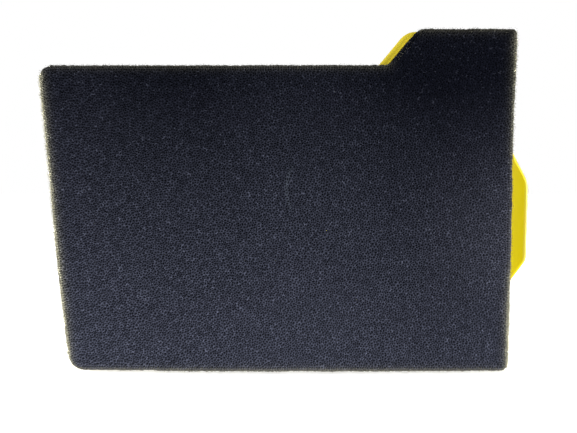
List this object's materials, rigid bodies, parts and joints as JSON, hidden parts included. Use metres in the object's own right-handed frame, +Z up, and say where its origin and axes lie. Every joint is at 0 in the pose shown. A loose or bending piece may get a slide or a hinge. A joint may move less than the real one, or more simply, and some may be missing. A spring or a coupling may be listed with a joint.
{
  "type": "panel air filter",
  "caption": "Flat engine air filter with a stepped-corner charcoal foam pre-cleaner over a yellow moulded rim that holds pleated paper and a wire screen.",
  "frame": {"origin": "middle of the whole filter's width and depth, at the height of its flat lower long edge, on which it stands", "axes": "+X along the long side towards the stepped corner and the locating tab, +Y towards the clean side with the sealing bead, +Z up; the foam faces -Y"},
  "size_m": [0.2018, 0.0378, 0.1417],
  "materials": {
    "foam": "open-cell charcoal polyurethane foam, dull",
    "polyurethane": "cast polyurethane, satin skin",
    "filter_paper": "resin-treated pleated paper, matt",
    "strip_card": "plain card, matt",
    "hot_melt": "set hot-melt adhesive, satin",
    "zinc_wire": "zinc-coated steel wire"
  },
  "bodies": {
    "cartridge": {"moulded_housing": "polyurethane", "pleated_paper": "filter_paper", "pleat_strip_left": "strip_card", "pleat_strip_right": "strip_card", "backfire_screen": "zinc_wire", "separator_bead_front_1": "hot_melt", "separator_bead_front_2": "hot_melt", "separator_bead_front_3": "hot_melt", "separator_bead_back_1": "hot_melt", "separator_bead_back_2": "hot_melt", "separator_bead_back_3": "hot_melt"},
    "precleaner": {"foam_precleaner": "foam"}
  },
  "joints": [
    {"name": "precleaner_lift_off", "type": "slide", "parent": "cartridge", "child": "precleaner", "axis": [0, -1, 0], "range_m": [0, 0.03]}
  ]
}
